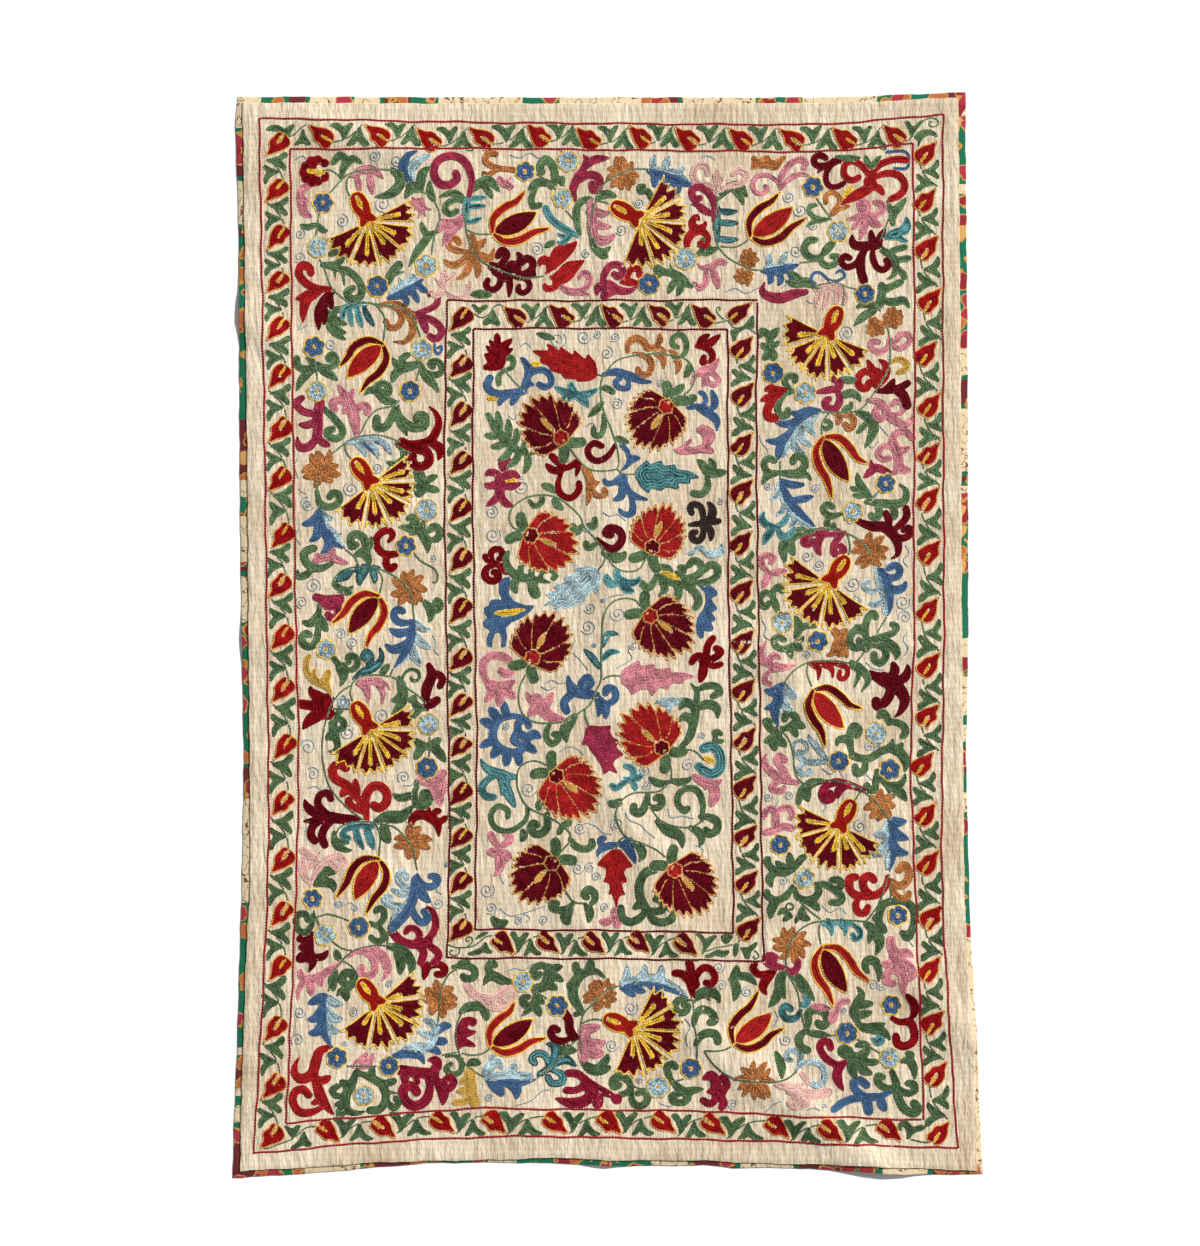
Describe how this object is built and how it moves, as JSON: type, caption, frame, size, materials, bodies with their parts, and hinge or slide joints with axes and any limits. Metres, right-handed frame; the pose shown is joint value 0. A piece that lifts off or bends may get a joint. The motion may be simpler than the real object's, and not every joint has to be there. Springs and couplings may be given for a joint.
{
  "type": "suzani embroidered textile",
  "caption": "Flat cotton cloth embroidered in chain stitch with flowers, vines and flowered borders, on a printed lining that shows as a narrow rim.",
  "frame": {"origin": "on the surface that the cloth lies on, under the middle of its outline", "axes": "+X across the cloth to the right, +Y up it towards its top edge, +Z out of its embroidered face"},
  "size_m": [1.0292, 1.4882, 0.0088],
  "materials": {
    "front_cloth": "undyed hand-woven cotton, matt, with chain-stitch embroidery in dark red, green, blue and yellow",
    "lining": "thin printed cotton, matt, green with red and ochre blotches and cream stretches"
  },
  "bodies": {
    "root": {"front_cloth": "front_cloth", "lining": "lining"}
  },
  "joints": []
}
